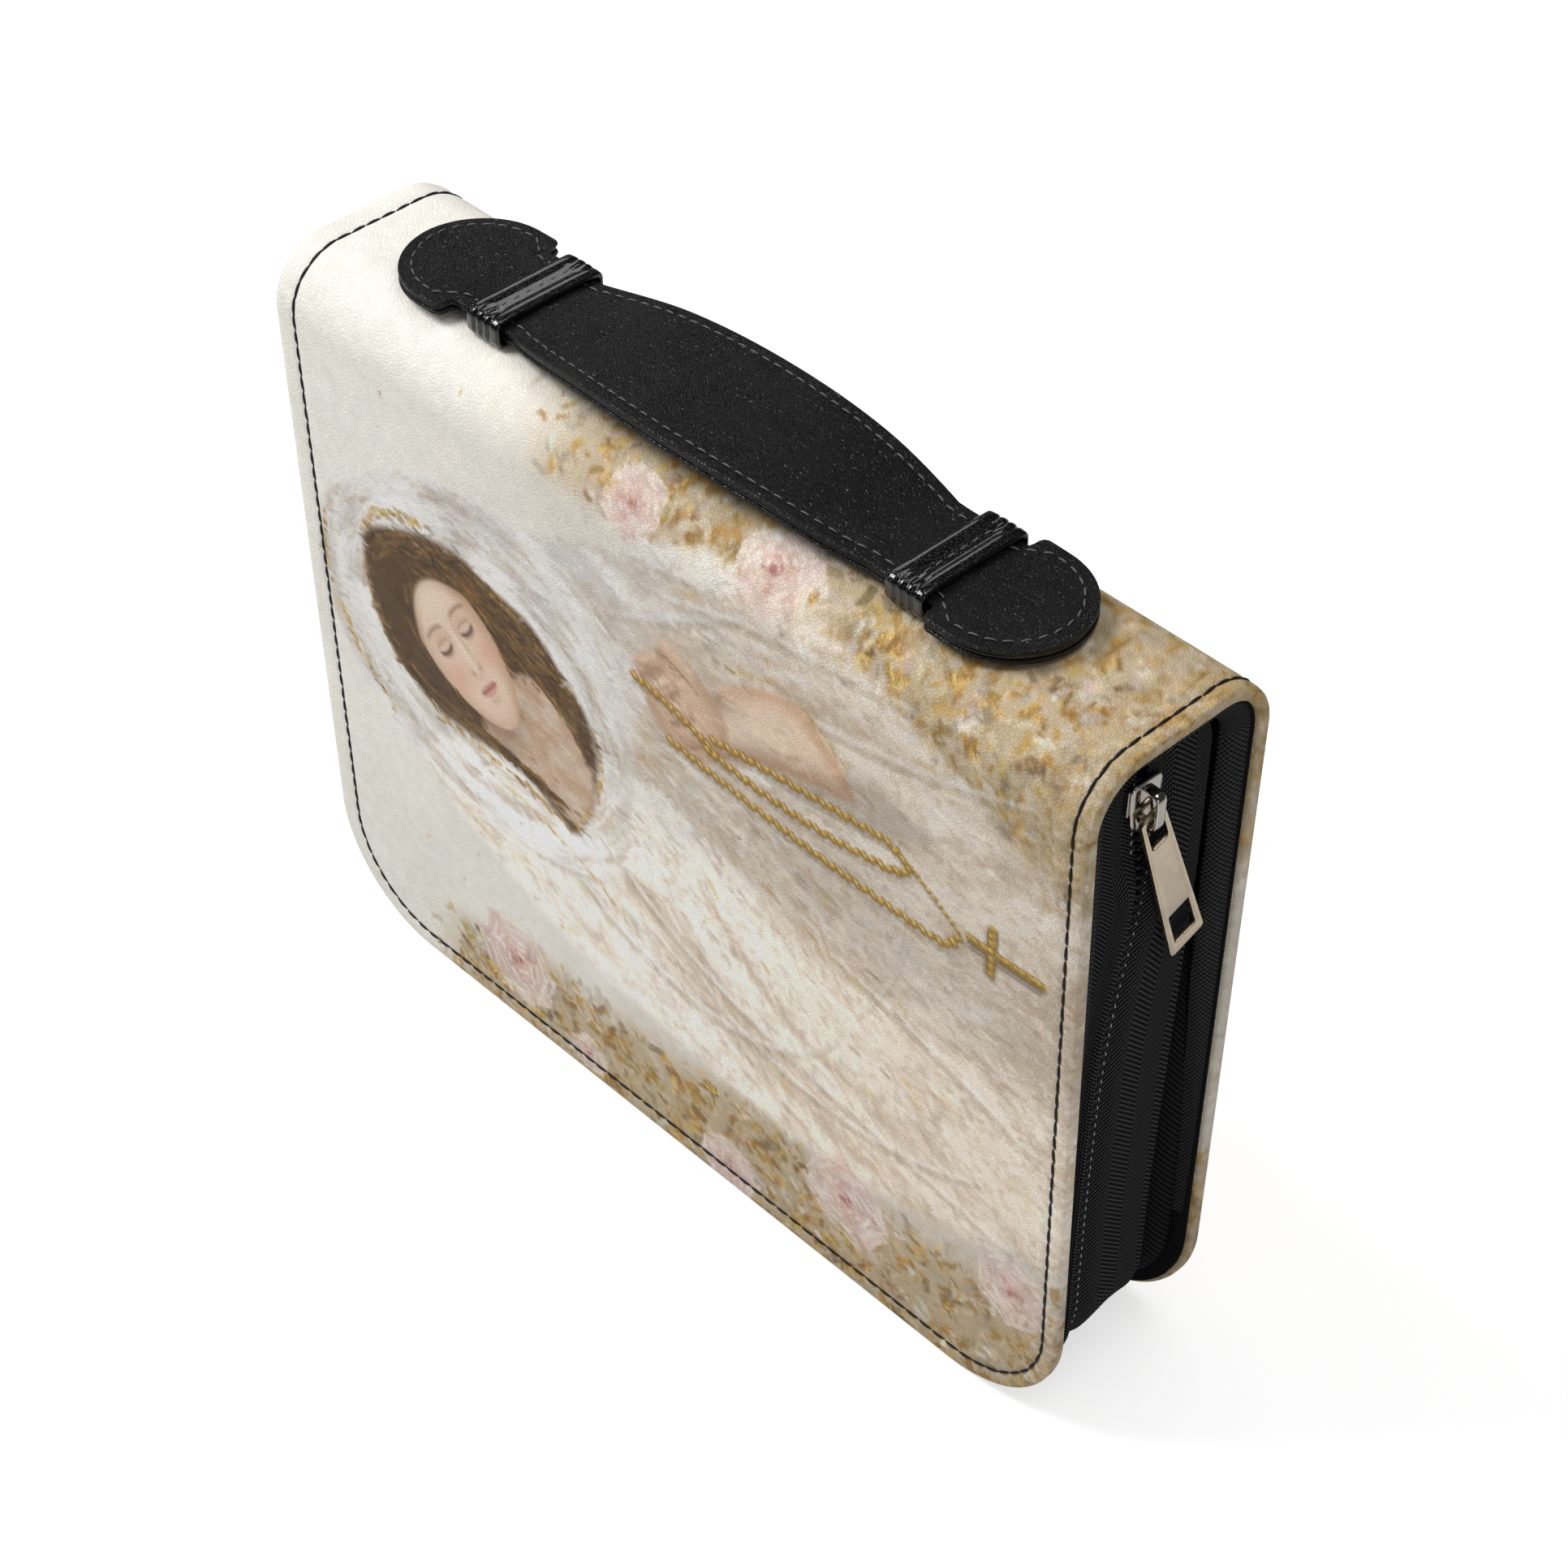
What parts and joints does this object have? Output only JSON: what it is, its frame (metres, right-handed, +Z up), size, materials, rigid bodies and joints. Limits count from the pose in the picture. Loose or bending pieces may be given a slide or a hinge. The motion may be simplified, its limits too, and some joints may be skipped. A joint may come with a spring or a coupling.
{
  "type": "zip-around prayer book case with book",
  "caption": "Hardback prayer book in a zip-around leather case with a sliding carry handle on the spine, standing closed on its fore-edge.",
  "frame": {"origin": "on the resting plane, under the middle of the case's outer box", "axes": "+X along the spine towards the tail with the zip's open end, +Y from the front cover to the rear cover, +Z up from the fore-edge to the spine"},
  "size_m": [0.2501, 0.054, 0.2093],
  "materials": {
    "printed_leather": "fine pebbled artificial leather with a printed picture, low sheen",
    "grey_board": "raw pressed grey board",
    "lining_cloth": "black plain-woven lining",
    "zip_cloth": "black herringbone-woven tape",
    "zip_coil": "black nylon coil, slight sheen",
    "zip_metal": "polished nickel plate on zinc",
    "handle_leather": "black smooth leather, soft sheen",
    "handle_filler": "pressed filler strip",
    "keeper_leather": "black glazed leather, high gloss",
    "book_cloth": "dark red book cloth",
    "leaf_paper": "uncoated cream paper with gilt edges",
    "ribbon_satin": "red satin ribbon",
    "band_thread": "gold and cream thread over a cord core"
  },
  "bodies": {
    "spine": {"spine_leather": "printed_leather", "spine_board": "grey_board", "spine_lining": "lining_cloth", "front_bend_leather": "printed_leather", "front_bend_lining": "lining_cloth", "rear_bend_leather": "printed_leather", "rear_bend_lining": "lining_cloth", "head_binding": "zip_cloth", "tail_binding": "zip_cloth", "head_keeper": "keeper_leather", "tail_keeper": "keeper_leather", "book_spine": "book_cloth", "head_band": "band_thread", "tail_band": "band_thread", "ribbon_marker": "ribbon_satin"},
    "front_cover": {"front_leather": "printed_leather", "front_board": "grey_board", "front_lining": "lining_cloth", "front_sleeve": "lining_cloth", "front_zip_tape": "zip_cloth", "front_zip_coil": "zip_coil", "book_front_board": "book_cloth"},
    "rear_cover": {"rear_leather": "printed_leather", "rear_board": "grey_board", "rear_lining": "lining_cloth", "rear_sleeve": "lining_cloth", "rear_zip_tape": "zip_cloth", "rear_gusset": "zip_cloth", "rear_zip_coil": "zip_coil", "book_rear_board": "book_cloth"},
    "front_leaves": {"front_leaves": "leaf_paper"},
    "rear_leaves": {"rear_leaves": "leaf_paper"},
    "handle": {"handle_under_leather": "handle_leather", "handle_core": "handle_filler", "handle_top_leather": "handle_leather"},
    "slider": {"slider_body": "zip_metal", "slider_bail": "zip_metal"},
    "pull": {"pull_tab": "zip_metal"}
  },
  "joints": [
    {"name": "front_cover_hinge", "type": "hinge", "parent": "spine", "child": "front_cover", "pos_m": [0, -0.0234, 0.1964], "axis": [-1, 0, 0], "range_deg": [0, 90], "deforming": ["front_bend_leather", "front_bend_lining"]},
    {"name": "rear_cover_hinge", "type": "hinge", "parent": "spine", "child": "rear_cover", "pos_m": [0, 0.0234, 0.1964], "axis": [1, 0, 0], "range_deg": [0, 90], "deforming": ["rear_bend_leather", "rear_bend_lining"]},
    {"name": "front_leaves_hinge", "type": "hinge", "parent": "spine", "child": "front_leaves", "pos_m": [0, -0.0144, 0.191], "axis": [-1, 0, 0], "range_deg": [0, 88.2]},
    {"name": "rear_leaves_hinge", "type": "hinge", "parent": "spine", "child": "rear_leaves", "pos_m": [0, 0.0144, 0.191], "axis": [1, 0, 0], "range_deg": [0, 88.2]},
    {"name": "handle_slide", "type": "slide", "parent": "spine", "child": "handle", "axis": [1, 0, 0], "range_m": [0, 0.005]},
    {"name": "zip_slide", "type": "slide", "parent": "rear_cover", "child": "slider", "axis": [0, -0.0349, -0.9994], "range_m": [0, 0.12]},
    {"name": "pull_hinge", "type": "hinge", "parent": "slider", "child": "pull", "pos_m": [0.12265, -0.00524, 0.1781], "axis": [0, -0.9455, -0.3256], "range_deg": [0, 120]}
  ],
  "couplings": [
    {"joint": "front_leaves_hinge", "follows": "front_cover_hinge", "ratio": 0.98},
    {"joint": "rear_leaves_hinge", "follows": "rear_cover_hinge", "ratio": 0.98}
  ]
}
